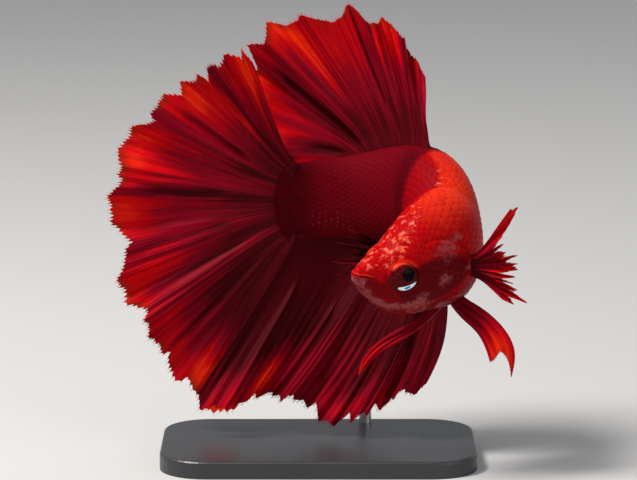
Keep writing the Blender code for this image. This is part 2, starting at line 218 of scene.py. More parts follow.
def bakeMap(piece, places):
    # the unwrap that colours are baked on, from each point's place on it
    mesh = piece.data
    while mesh.uv_layers:
        mesh.uv_layers.remove(mesh.uv_layers[0])
    layer = mesh.uv_layers.new(name="OFBake")
    corners = np.empty(len(mesh.loops), np.int32)
    mesh.loops.foreach_get("vertex_index", corners)
    layer.data.foreach_set("uv", places[corners].astype(np.float32).reshape(-1))


def closeUp(piece, merge=0.0):
    pick(piece)
    bpy.ops.object.mode_set(mode="EDIT")
    bpy.ops.mesh.select_all(action="SELECT")
    if merge:
        bpy.ops.mesh.remove_doubles(threshold=merge)
    bpy.ops.mesh.normals_make_consistent(inside=False)
    bpy.ops.object.mode_set(mode="OBJECT")
    piece.data.shade_smooth()


def thicken(piece, thickness, root, fleshy):
    # a wall of even thickness on both sides, with flesh of the root's thickness where fleshy is 1
    steps = 24
    flesh = piece.vertex_groups.new(name="flesh")
    level = np.round(np.clip(fleshy, 0, 1) * steps).astype(int)
    for number in range(steps + 1):
        flesh.add(np.flatnonzero(level == number).tolist(), number / steps, "REPLACE")
    pick(piece)
    bpy.ops.object.modifier_add(type="SOLIDIFY")
    wall = piece.modifiers[-1]
    wall.thickness = root * mm
    wall.offset = 0
    wall.vertex_group = "flesh"
    wall.thickness_vertex_group = thickness / root
    bpy.ops.object.modifier_apply(modifier=wall.name)
    piece.data.shade_smooth()


def joinRings(name, rings, **values):
    # many small closed forms as one mesh, each a row of rings: counts are (form, ring, round it, 3)
    count, along, around = rings.shape[:3]
    first = (np.arange(count) * along * around)[:, None, None]
    i, k = np.arange(along - 1)[None, :, None] * around, np.arange(around)[None, None, :]
    here, beside = first + i + k, first + i + (k + 1) % around
    sides = np.stack([here, beside, beside + around, here + around], axis=-1).reshape(-1, 4)
    start = first[:, 0] + np.arange(around)[::-1]
    end = first[:, 0] + (along - 1) * around + np.arange(around)
    mesh = bpy.data.meshes.new(name)
    faces = sides.tolist() + start.tolist() + end.tolist()
    mesh.from_pydata(metres(rings.reshape(-1, 3)).tolist(), [], faces)
    piece = added(name, mesh)
    keep(piece, **values)
    return piece


def dress(piece, finish):
    # gives a piece its finish, and says what it rides on
    piece.data.materials.append(finish)
    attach(piece, "root")
    print(piece.name + ":", len(piece.data.polygons), "faces")


class Wire:
    # a socket that takes part in sums
    def __init__(self, tree, node, output=0):
        self.tree, self.node, self.socket = tree, node, node.outputs[output]

    def sum(self, operation, *values, clamp=False):
        settings = {"operation": operation, "use_clamp": clamp}
        return addNode(self.tree, "ShaderNodeMath", settings, dict(enumerate(values)))

    def __add__(self, other):
        return self.sum("ADD", self, other)

    def __radd__(self, other):
        return self.sum("ADD", other, self)

    def __sub__(self, other):
        return self.sum("SUBTRACT", self, other)

    def __rsub__(self, other):
        return self.sum("SUBTRACT", other, self)

    def __mul__(self, other):
        return self.sum("MULTIPLY", self, other)

    def __truediv__(self, other):
        return self.sum("DIVIDE", self, other)

    def __pow__(self, other):
        return self.sum("POWER", self, other)

    def clip(self):
        return self.sum("ADD", self, 0.0, clamp=True)

    def between(self, low, high):
        # 0 below low, 1 above high, smooth between them; swapped ends fall instead
        values = {"Value": self, "From Min": low, "From Max": high, "To Min": 0.0, "To Max": 1.0}
        return addNode(self.tree, "ShaderNodeMapRange", {"interpolation_type": "SMOOTHSTEP"}, values)


def addNode(tree, kind, settings=None, values=None, output=0):
    node = tree.nodes.new(kind)
    for name, value in (settings or {}).items():
        setattr(node, name, value)
    for name, value in (values or {}).items():
        if isinstance(value, Wire):
            tree.links.new(value.socket, node.inputs[name])
        else:
            node.inputs[name].default_value = value
    return Wire(tree, node, output)


def newFinish(name):
    made = bpy.data.materials.new(name)
    made.use_nodes = True
    made.node_tree.nodes.clear()
    return made, made.node_tree


def mixColor(tree, share, first, second):
    settings = {"data_type": "RGBA"}
    first = first if isinstance(first, Wire) else (*first, 1)
    second = second if isinstance(second, Wire) else (*second, 1)
    return addNode(tree, "ShaderNodeMix", settings, {0: share, 6: first, 7: second}, output=2)


def read(tree, *names):
    # the numbers that each point keeps
    return [addNode(tree, "ShaderNodeAttribute", {"attribute_name": name}, output=2) for name in names]


def objectPlace(tree):
    return addNode(tree, "ShaderNodeTexCoord", output=3)


def stretched(tree, vector, scale):
    return addNode(tree, "ShaderNodeVectorMath", {"operation": "MULTIPLY"}, {0: vector, 1: scale})


def spotOf(tree, x, y, z):
    return addNode(tree, "ShaderNodeCombineXYZ", {}, {"X": x, "Y": y, "Z": z})


def noise(tree, vector, scale, detail=3.0, rough=0.5):
    given = {"Vector": vector, "Scale": scale, "Detail": detail, "Roughness": rough}
    return addNode(tree, "ShaderNodeTexNoise", {}, given)


def bump(tree, height, depth):
    return addNode(tree, "ShaderNodeBump", {}, {"Height": height, "Distance": depth * mm})


def glossy(tree, values):
    return addNode(tree, "ShaderNodeBsdfPrincipled", {}, values)


def endAt(tree, shader):
    end = tree.nodes.new("ShaderNodeOutputMaterial")
    tree.links.new(shader.socket, end.inputs["Surface"])


skinColors = {
    "red": (0.35, 0.0008, 0.002),
    # orange is the colour of painted light
    "orange": (0.58, 0.022, 0.006),
    # maroon, partly the fish's own and partly painted shade, and below it the deepest maroon, partly painted
    # shadow
    "maroonAndShade": (0.110, 0.0002, 0.004),
    "deepMaroonAndShadow": (0.035, 0.0001, 0.002),
    "cheek": (0.090, 0.0004, 0.003),
    "flake": (0.66, 0.085, 0.045),
    "pale": (0.76, 0.22, 0.14),
    "grey": (0.25, 0.058, 0.062),
    "fleck": (0.50, 0.13, 0.17),
}


def skinFinish(name, scaled):
    made, tree = newFinish(name)
    spot = objectPlace(tree)
    paintedLight, maroonAndShade, cheek, pale, grey = read(tree, "paintedLight", "maroonAndShade", "cheek", "pale", "grey")
    wide = noise(tree, spot, 260.0)
    fine = noise(tree, spot, 1500.0, 3.0, 0.6)
    blotch = noise(tree, spot, 1250.0, 5.0, 0.62) + pale * 0.14
    shown = pale.between(0.05, 0.45)
    smudge = noise(tree, spot, 900.0, 5.0, 0.75) + grey * 0.26
    chin = smudge.between(0.58, 0.80) * grey.between(0.02, 0.4)
    specks = noise(tree, spot, 3800.0, 2.0) + smudge * 0.3
    specks = specks.between(0.80, 0.90) * grey.between(0.3, 0.6)
    layers = [
        # painted light: orange where light falls on the top of the body, on the upper lip and on the lids
        ((paintedLight * 1.3 - wide * 0.5).clip(), "orange"),
        ((cheek * 1.25 - wide * 0.35).clip(), "cheek"),
        # maroon over the rear body, partly painted shade; deepest at the tail stem and in the painted shadow
        # beside the ridge
        ((maroonAndShade * 1.15 + wide * 0.3 - 0.2).clip(), "maroonAndShade"),
        (maroonAndShade.between(1.0, 1.7), "deepMaroonAndShadow"),
        (blotch.between(0.645, 0.71) * shown * 0.7, "flake"),
        (blotch.between(0.71, 0.82) * shown * 0.8, "pale"),
        (chin * 0.75, "grey"),
        (specks * 0.4, "flake"),
    ]
    if scaled:
        tone, rim, fleck = read(tree, "tone", "rim", "fleck")
        # a painted highlight in orange on the outer rim of each scale, weaker where the maroon shade lies
        layers.append((rim * 0.07 * (1.4 - maroonAndShade).clip(), "orange"))
        layers.append((tone.between(0.5, 0.0) * 0.22, "maroonAndShade"))
        layers.append((fleck * 0.8, "fleck"))
    color = skinColors["red"]
    for share, word in layers:
        color = mixColor(tree, share, color, skinColors[word])
    wet = {"Roughness": 0.28 + fine * 0.25 + maroonAndShade * 0.3, "Specular IOR Level": 0.03}
    endAt(tree, glossy(tree, {"Base Color": color, "Normal": bump(tree, fine, 0.02), **wet}))
    return made


# Ridges and grooves of the head are given as where their middle is, half width and height or depth.
head = {
    "eyeAt": 0.126, "eyeUp": 0.62, "eyeRadius": 2.0, "eyeDepth": 1.05, "eyeBulge": 0.30,
    "eyeFaces": (0.93, 0.30, 0.18),
    "lid": (1.93, 0.15, 0.10), "lidTop": 0.45, "trough": (2.32, 0.16, 0.06),
    "socket": (1.60, 1.80), "socketDepth": 1.3,
    "mouth": ((0.0, 0.8, 2.1, 2.8), (0.0, 0.20, 0.14, -0.10)),  # from the snout, over the line
    "mouthLength": 2.3, "slit": (0, 0.06, 0.20), "upperLip": (0.17, 0.11, 0.07),
    "lowerLip": (-0.20, 0.14, 0.0875), "lipFold": (0.42, 0.07, 0.04), "wrinkles": 0.012,
    # as middle, lean, half width, depth, and the heights between which it fades at each end
    "jawCreases": (
        (3.2, 0.10, 0.11, 0.07, -1.9, -1.2, 1.3, 1.9), (2.45, -0.30, 0.10, 0.06, -1.5, -0.9, 0.5, 0.9),
    ),
    "chinGroove": (0, 0.14, 0.07), "chinStart": (2.5, -1.40), "chinSlope": 0.306,
    "cheek": (6.4, -0.9, 3.3, 3.1), "cheekGroove": (1.0, 0.035, 0.10), "cheekStep": 0.05,
    "cover": (10.0, -0.9, 3.5, 4.6),  # a gill cover's middle from the snout and over the line, half sizes
    "coverGroove": (1.035, 0.022, 0.14), "coverStep": 0.20,
    "nostril": (2.3, 1.45), "nostrilRim": (0.24, 0.10, 0.03), "nostrilHole": (0, 0.12, 0.18),
    "lumps": 0.035,
}
skinGrid = {"columns": 280, "rows": 296}
shareKnots = ((0.0, 0.04, 0.56, 0.965, 1.0), (body["snout"], body["snout"], 0.33, 1.0, 1.0))


def skinPlace(share):
    # where on the skin, from 0 at the snout to 1, a share of the line's length is; past 1 is the wedge
    shares = (body["snout"], 0.33, 1.0, 1.0 + body["tailReach"] / bodyLength)
    return np.interp(share, shares, shareKnots[0][1:])


def mouthLine(along):
    return np.interp(along, *head["mouth"])


def groove(x, mark):
    middle, width, depth = mark
    return bell(x, middle, width) * depth


def oval(along, height, place):
    # 0 in the middle of an oval on the side of the head and 1 on its rim
    x, y, wide, tall = place
    return np.hypot((along - x) / wide, (height - y) / tall)


def eyePlace(side):
    # an eye's middle, and the directions ahead, up and out of it
    line, forward, left, up = bodyFrame(head["eyeAt"])
    outward, ahead, rise = head["eyeFaces"]
    out = unit(left * side * outward + forward * ahead + up * rise)
    reach = outlineAt(head["eyeAt"])[2] - head["eyeDepth"] + head["eyeBulge"]
    ahead = unit(forward - out * (forward @ out))
    over = np.cross(out, ahead)
    over = over * np.sign(over @ up)
    return line + left * (side * reach) + up * head["eyeUp"], ahead, over, out


def roundEye(points, side):
    # each point's distance from the eye's axis, and how far out along it and over it the point is
    middle, _, over, out = eyePlace(side)
    away = points - middle
    deep = away @ out
    return np.linalg.norm(away - deep[:, None] * out, axis=1), deep, away @ over


def headRelief(points, along, height):
    # how far the skin stands out or in at each point: along is from the snout, height is over the line
    relief = np.zeros(len(points))
    for side in (1, -1):
        ring, deep, high = roundEye(points, side)
        lid = groove(ring, head["lid"]) * (1 + head["lidTop"] * high / np.maximum(ring, 0.1))
        socket = head["socketDepth"] * (1 - ease(*head["socket"], ring))
        near = (deep > 0) & (ring < 2 * head["eyeRadius"])
        relief += np.where(near, lid - groove(ring, head["trough"]) - socket, 0)

    line = height - mouthLine(along)
    ends = 1 - ease(head["mouthLength"] - 0.7, head["mouthLength"] + 0.2, along)
    lips = groove(line, head["upperLip"]) + groove(line, head["lowerLip"])
    relief += (lips - groove(line, head["slit"]) - groove(line, head["lipFold"])) * ends
    wrinkles = np.sin(9.0 * line + 1.5 * along) * ease(0.3, 0.7, line) * ease(3.4, 2.4, along)
    relief += head["wrinkles"] * wrinkles
    for middle, lean, width, depth, foot, low, high, top in head["jawCreases"]:
        fade = ease(foot, low, height) * ease(top, high, height)
        relief -= groove(along, (middle + lean * height, width, depth)) * fade
    x, y = head["chinStart"]
    chin = height - y + head["chinSlope"] * (along - x)
    relief -= groove(chin, head["chinGroove"]) * ease(2.2, 2.9, along) * ease(9.2, 8.0, along)

    cheek = oval(along, height, head["cheek"])
    rear = ease(-0.6, 1.6, along - head["cheek"][0]) + ease(-1.0, -2.4, height)
    step = head["cheekStep"] * ease(0.80, 0.97, cheek) * ease(1.0, 0.985, cheek)
    relief += (step - groove(cheek, head["cheekGroove"])) * np.clip(rear, 0, 1) * ease(1.2, 0.0, height)

    cover = oval(along, height, head["cover"])
    step = head["coverStep"] * ease(0.55, 0.96, cover) * ease(1.015, 0.985, cover)
    relief += (step - groove(cover, head["coverGroove"])) * ease(-1.2, 1.2, along - head["cover"][0])

    hole = oval(along, height, (*head["nostril"], 1, 1))
    relief += groove(hole, head["nostrilRim"]) - groove(hole, head["nostrilHole"])

    lumps = np.sin(points @ (2.1, 1.3, 0.7)) * np.sin(points @ (-0.9, 1.7, 2.2) + 1)
    return relief + head["lumps"] * lumps * ease(13, 9, along)


def skinBase(girth, v):
    # the body's closed form: girth goes round it and v runs from the snout to the tail
    girth, v = np.asarray(girth, float), np.clip(np.asarray(v, float), 0, 1)
    share = np.interp(v, *shareKnots)
    snout, tail = shareKnots[0][1], shareKnots[0][3]
    nose = np.clip(1 - v / snout, 0, 1) * math.pi / 2
    stern = np.clip((v - tail) / (1 - tail), 0, 1)
    side, height = ringOffset(share, turnAt(share, girth), -body["coat"])
    # the snout ends round, and the stem runs out over the tail fin as a bowed wedge
    bow = np.clip(1 - body["wedgeBow"] * (height / body["wedgeHalf"]) ** 2, 0, 1)
    push = np.sin(nose) * body["snoutRound"] - stern * body["tailReach"] * bow
    side = side * np.cos(nose) * (1 - stern * body["wedge"])
    height = height * np.cos(nose) * (1 - body["wedgeLow"] * stern)
    here, forward, left, up = bodyFrame(share)
    points = here + forward * push[..., None] + left * side[..., None] + up * height[..., None]
    return points, share * bodyLength - push, height, side


def skinSurface(girth, v):
    # the skin's points with the head's relief, and the way out of it
    nudge = 1.5e-3
    points, along, height, side = skinBase(girth, v)
    here = bodyFrame(np.interp(v, *shareKnots))
    ahead = skinBase(girth, np.minimum(v + nudge, 1))[0] - skinBase(girth, np.maximum(v - nudge, 0))[0]
    around = skinBase((girth + nudge) % 1, v)[0] - skinBase((girth - nudge) % 1, v)[0]
    out = np.cross(ahead, around)
    size = np.linalg.norm(out, axis=-1, keepdims=True)
    out = np.where(size > 1e-7, out / np.maximum(size, 1e-12), here[1])
    facing = np.sum(out * (points - here[0]), axis=-1, keepdims=True)
    out = np.where(facing < 0, -out, out)
    relief = headRelief(points, along, height) * ease(15.0, 13.6, along)
    return points + out * relief[:, None], out, along, height, side


# Where the markings and the painted light and shade lie: ranges are from where one begins to where it is
# full.
marks = {
    "maroonAndShade": (0.520, 0.542), "deepMaroonAndShadow": (0.575, 0.05), "duskTail": (0.88, 1.0), "shadedSide": (0.34, 0.44),
    "cheek": (9.2, -1.1, 4.7, 3.0), "ridgeGlints": (-0.9, 1.2), "lip": (0.15, 0.10), "eyeRing": 1.85,
    # how high up the head the flakes begin, and how low the grey of the chin begins, along it
    "flakesFrom": ((0.3, 1.5, 3.0, 5.0, 7.5, 10.0, 15.0), (0.25, 0.33, 0.45, 0.52, 0.60, 0.72, 0.82)),
    "greyFrom": ((0.3, 0.8, 1.8, 3.4, 4.6, 7.3, 12.0), (-0.8, -1.2, -2.0, -2.9, -3.4, -3.4, -4.6)),
    "greyEdge": (-5.0, 0.7),
    "patches": ((10.6, -1.5, 0.9), (11.5, 2.0, 1.3), (12.9, 2.6, 0.8), (13.5, -1.4, 0.7), (8.2, -3.0, 1.1)),
}


def markings(points, along, height, side):
    # where the skin has painted light, where it darkens to maroon and painted shade, and where it goes pale,
    # the same on the skin and on its scales
    share = along / bodyLength
    outline = outlineAt(np.clip(share, 0, 1))
    lift = np.clip(height / outline[..., 0], -1.2, 1.2)
    line = height - mouthLine(along)
    # painted light: orange over the top of the front of the body, except on its right flank, and a painted
    # highlight along the upper lip
    paintedLight = ease(0.25, 0.95, lift) * ease(0.62, 0.30, share)
    paintedLight = (paintedLight + 0.5 * ease(0.3, 0.9, lift) * ease(0.3, 0.6, share)) * ease(0.15, 0.36, share)
    paintedLight = paintedLight * ease(-1.5, -0.5, side)
    paintedLight = np.maximum(paintedLight, 0.9 * bell(line, *marks["lip"]) * ease(2.2, 1.4, along))

    # darker maroon over the rear body, partly its own colour and partly painted shade from the dorsal fin,
    # darkest at the tail stem; a painted shadow beside the back's ridge on the right, and painted shade over
    # the right flank
    maroonAndShade = ease(*marks["maroonAndShade"], share - 0.004 * (height - 0.5)) + 0.5 * ease(*marks["duskTail"], share)
    maroonAndShade = maroonAndShade + 0.4 * bell(share, *marks["deepMaroonAndShadow"]) * ease(0, -2.5, side)
    maroonAndShade = np.maximum(maroonAndShade, 0.5 * ease(-0.5, -1.8, side) * ease(*marks["shadedSide"], share))

    cheek = ease(1.2, 0.75, oval(along, height, marks["cheek"]))
    cheek = np.maximum(cheek, 0.8 * ease(-0.1, -0.8, lift) * ease(0.08, 0.2, share))
    cheek = np.maximum(cheek, 0.75 * ease(0.2, -0.3, line) * ease(9.0, 6.0, along))

    low = np.interp(along, *marks["flakesFrom"])
    pale = ease(low, low + 0.25, lift) * ease(0.2, 0.9, along) * ease(16.5, 8.0, along)
    # along the lit ridge of the back, the pale flakes are painted glints
    ridgeGlints = bell(side, *marks["ridgeGlints"]) * ease(9, 12, along) * ease(26, 21, along)
    pale = np.maximum(pale, 0.8 * ridgeGlints * ease(0.4, 0.8, lift))

    level = np.interp(along, *marks["greyFrom"])
    grey = (bell(height, level, 0.7) + ease(level, level - 1.5, height) * 0.5) * ease(11.0, 8.0, along)
    grey = np.maximum(grey, 0.7 * ease(-0.05, -0.35, line) * ease(1.5, 0.8, along))
    edge = bell(height, *marks["greyEdge"])
    grey = np.maximum(grey, 0.9 * edge * ease(8.5, 10.5, along) * ease(17.0, 14.0, along))
    for x, y, size in marks["patches"]:
        grey = np.maximum(grey, 0.95 * bell(oval(along, height, (x, y, size, size)), 0, 1))

    for eye in (1, -1):
        ring, deep, high = roundEye(points, eye)
        near = deep > 0
        # a painted highlight on the lid over each eye
        paintedLight = np.maximum(paintedLight, near * bell(ring, marks["eyeRing"], 0.25) * ease(0.6, 1.4, high) * 0.9)
        cheek = np.maximum(cheek, near * bell(ring, 1.6, 0.9) * ease(1.1, -0.2, high))
        pale = pale * (1 - near * bell(ring, 1.4, 0.6))
    return {"paintedLight": paintedLight, "maroonAndShade": maroonAndShade, "cheek": cheek * (1 - 0.8 * pale), "pale": pale, "grey": grey}


def makeSkin(finish):
    skin, girth, v = newGrid("skin", skinGrid["columns"], skinGrid["rows"])
    points, _, along, height, side = skinSurface(girth, v)
    place(skin, points)
    keep(skin, **markings(points, along, height, side))
    bakeMap(skin, np.stack([0.002 + 0.996 * girth, 0.002 + 0.996 * v], axis=1))
    closeUp(skin, 2e-6)
    dress(skin, finish)
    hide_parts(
        "head", "lower_jaw", "gill_cover_left", "gill_cover_right",
        "trunk_front", "trunk_rear", "tail_stem",
    )


scales = {
    "around": 37, "first": 0.045,
    "lengths": ((0.0, 0.14, 0.30, 0.45, 1.0), (0.36, 0.46, 0.64, 0.74, 0.82)),  # a row's step along the body
    "overlap": 1.75,  # a scale's length in steps
    "halfWidth": 0.60,  # in steps round the body
    "lift": 0.08, "sink": 0.07, "thickness": 0.05, "patch": 0.003,
    "relief": ((0.05, 0.30, 0.50, 0.62, 0.97, 1.05), (0.55, 1.0, 0.85, 0.40, 0.40, 0.30)),  # along the body
    "bareRound": 2.5,  # round an eye
    "rows": (0, 0.22, 0.42, 0.58, 0.72, 0.84, 0.93, 1.0), "across": (-1, -0.62, -0.2, 0.2, 0.62, 1),
    "flecked": (0.83, 0.95), "fleckTurn": 208, "fleckSpread": 16, "fleckShare": 0.4,
    "parts": (("head", 0, 0.30), ("front", 0.30, 0.62), ("rear", 0.62, 1.1)),
}


def scaleRoots():
    # rows of scales down the body, each row half a step round from the last
    rng = np.random.default_rng(seed)
    found = []
    share, row = scales["first"], 0
    while share < 1.0 + 0.80 * body["tailReach"] / bodyLength:
        step = np.interp(share, *scales["lengths"]) / bodyLength
        for k in range(scales["around"]):
            girth = ((k + 0.5 * (row % 2)) / scales["around"] + rng.normal(0, 0.0007)) % 1
            found.append((girth, share + rng.normal(0, 0.0004), step, rng.random()))
        share += step
        row += 1
    return np.array(found)


def scaledPlaces(roots):
    # leaves the snout, the chin, the mouth and the eyes bare
    v = skinPlace(roots[:, 1])
    points, along, height, _ = skinBase(roots[:, 0], v)
    bare = (along < 9.0) & (height < 0.9 - 0.40 * along) | (along < 5.6) & (height < 2.0)
    for side in (1, -1):
        ring, deep, _ = roundEye(points, side)
        bare |= (deep > 0) & (ring < scales["bareRound"])
    return roots[~bare]


def makeScales(name, roots, finish):
    half = scales["across"]
    under = np.repeat((0, 1), len(half))
    v, u = np.meshgrid(scales["rows"], half + half[::-1], indexing="ij")
    rounded = np.sqrt(np.clip(1 - ((v - 0.5) / 0.52) ** 2, 0, 1))
    wide = np.where(v < 0.5, 0.80 + 0.20 * np.sin(np.pi * v), rounded)
    girth, share, step, tone = (roots[:, i, None, None] for i in range(4))
    spotShare = share + v * step * scales["overlap"] - step * 0.3
    spotGirth = (girth + u * wide * scales["halfWidth"] / scales["around"]) % 1
    lift = -scales["sink"] + (scales["lift"] + scales["sink"]) * v**0.8 - 0.035 * u * u
    lift = (lift - under * scales["thickness"]) * np.interp(share, *scales["relief"])
    shape = np.broadcast_shapes(spotShare.shape, spotGirth.shape, lift.shape)
    spotShare, spotGirth, lift = (np.broadcast_to(a, shape).reshape(-1) for a in (spotShare, spotGirth, lift))
    points, out, along, height, side = skinSurface(spotGirth, skinPlace(spotShare))
    rings = (points + out * lift[:, None]).reshape(*shape, 3)
    low, high = scales["flecked"]
    level = np.abs(turnAt(share, girth) - scales["fleckTurn"]) < scales["fleckSpread"]
    flecked = (share > low) * (share < high) * level * (tone > scales["fleckShare"])
    fleck = flecked * bell(v, 0.80, 0.05) * bell(u, 0.1, 0.18) * tone
    tone, rim, fleck = (np.broadcast_to(a, shape) for a in (tone, ease(0.72, 1.0, v), fleck))
    made = joinRings(name, rings, tone=tone, rim=rim, fleck=fleck, **markings(points, along, height, side))
    rootV = skinPlace(share)
    inset = 1 - 0.25 * under
    patchU = 0.004 + 0.992 * np.clip(girth, 0, 1) + u * wide * inset * scales["patch"] / 2
    patchV = 0.004 + 0.992 * rootV + (v - 0.5) * inset * scales["patch"]
    places = np.stack([np.broadcast_to(patch, shape) for patch in (patchU, patchV)], axis=-1)
    bakeMap(made, places.reshape(-1, 2))
    closeUp(made)
    dress(made, finish)


eyes = {
    "pupil": 0.41, "pupilAt": (-0.19, 0.18), "bulge": 0.05,
    # where the painted reflection lies on the eye, its size, tilt and bow, and the width of its blue
    "reflectionAt": (-0.13, -0.62), "crescentSize": (0.64, 0.17), "crescentTilt": -0.20, "crescentBow": 0.13,
    "blueWidth": 0.26,
    # the iris, the painted highlight over it, and below it the painted reflection's pale and blue and the
    # pupil's black
    "iris": ((0.040, 0.001, 0.002), (0.110, 0.003, 0.005)), "litArc": (0.60, 0.040, 0.010),
    "pale": (0.78, 0.88, 0.96), "blue": (0.02, 0.22, 0.45), "black": (0.001, 0.001, 0.001),
}


def eyeFinish():
    made, tree = newFinish("eyeGloss")
    x, y, z = read(tree, "gazeX", "gazeY", "gazeZ")
    atX, atY = x - eyes["pupilAt"][0], y - eyes["pupilAt"][1]
    ring = (atX * atX + atY * atY) ** 0.5
    whole = (x * x + y * y) ** 0.5
    front = z.between(0.0, 0.1)
    grain = noise(tree, objectPlace(tree), 2600.0)
    color = mixColor(tree, grain.between(0.35, 0.7), *eyes["iris"])
    # a painted highlight in orange over the top of the iris
    litArc = whole.between(0.77, 0.87) * y.between(0.38, 0.70)
    color = mixColor(tree, litArc * grain.between(0.1, 0.4), color, eyes["litArc"])
    # a painted reflection, pale with blue in it, in a crescent low on the front of the eye
    aside = x - eyes["reflectionAt"][0]
    across = aside / eyes["crescentSize"][0]
    level = aside * eyes["crescentTilt"] + eyes["reflectionAt"][1] + across * across * eyes["crescentBow"]
    drop = (y - level) / eyes["crescentSize"][1]
    spot = (across * across + drop * drop) + (grain - 0.5) * 0.5
    pale = spot.between(1.0, 0.65) * front
    color = mixColor(tree, pale, color, eyes["pale"])
    blueX = aside / eyes["blueWidth"]
    blue = (blueX * blueX + drop * drop * 2.2 + (grain - 0.5)).between(0.9, 0.4)
    color = mixColor(tree, blue * pale, color, eyes["blue"])
    inside = ring.between(eyes["pupil"] + 0.02, eyes["pupil"] - 0.02)
    color = mixColor(tree, inside * front, color, eyes["black"])
    endAt(tree, glossy(tree, {"Base Color": color, "Roughness": 0.04, "Specular IOR Level": 0.05}))
    return made


def makeEye(word, side, finish):
    middle, ahead, over, out = eyePlace(side)
    bpy.ops.mesh.primitive_uv_sphere_add(segments=72, ring_count=48, radius=1)
    ball = bpy.context.object
    ball.name = ball.data.name = word + "_eyeball"
    flat = unit(pointsOf(ball))
    cornea = 1 + eyes["bulge"] * ease(0.72, 0.92, flat[:, 2])
    across = (flat[:, :1] * ahead + flat[:, 1:2] * over) * head["eyeRadius"]
    place(ball, middle + (across + flat[:, 2:] * out * head["eyeDepth"]) * cornea[:, None])
    keep(ball, gazeX=flat[:, 0], gazeY=flat[:, 1], gazeZ=flat[:, 2])
    closeUp(ball)
    dress(ball, finish)
    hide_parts("eye_" + word)


finClear = 0.45  # how far off the body's outline a fin starts
# How the webs wave between the folds and pleats that each fan gives.
ripples = {
    "wander": 1.6, "drift": 0.12, "sharp": 0.6, "small": 0.13, "curl": 0.32, "curls": 2.6, "crease": 0.5,
    # how much the folds, pleats and small pleats add to the painted fold light and shade
    "crest": (0.24, 0.28, 0.12),
}
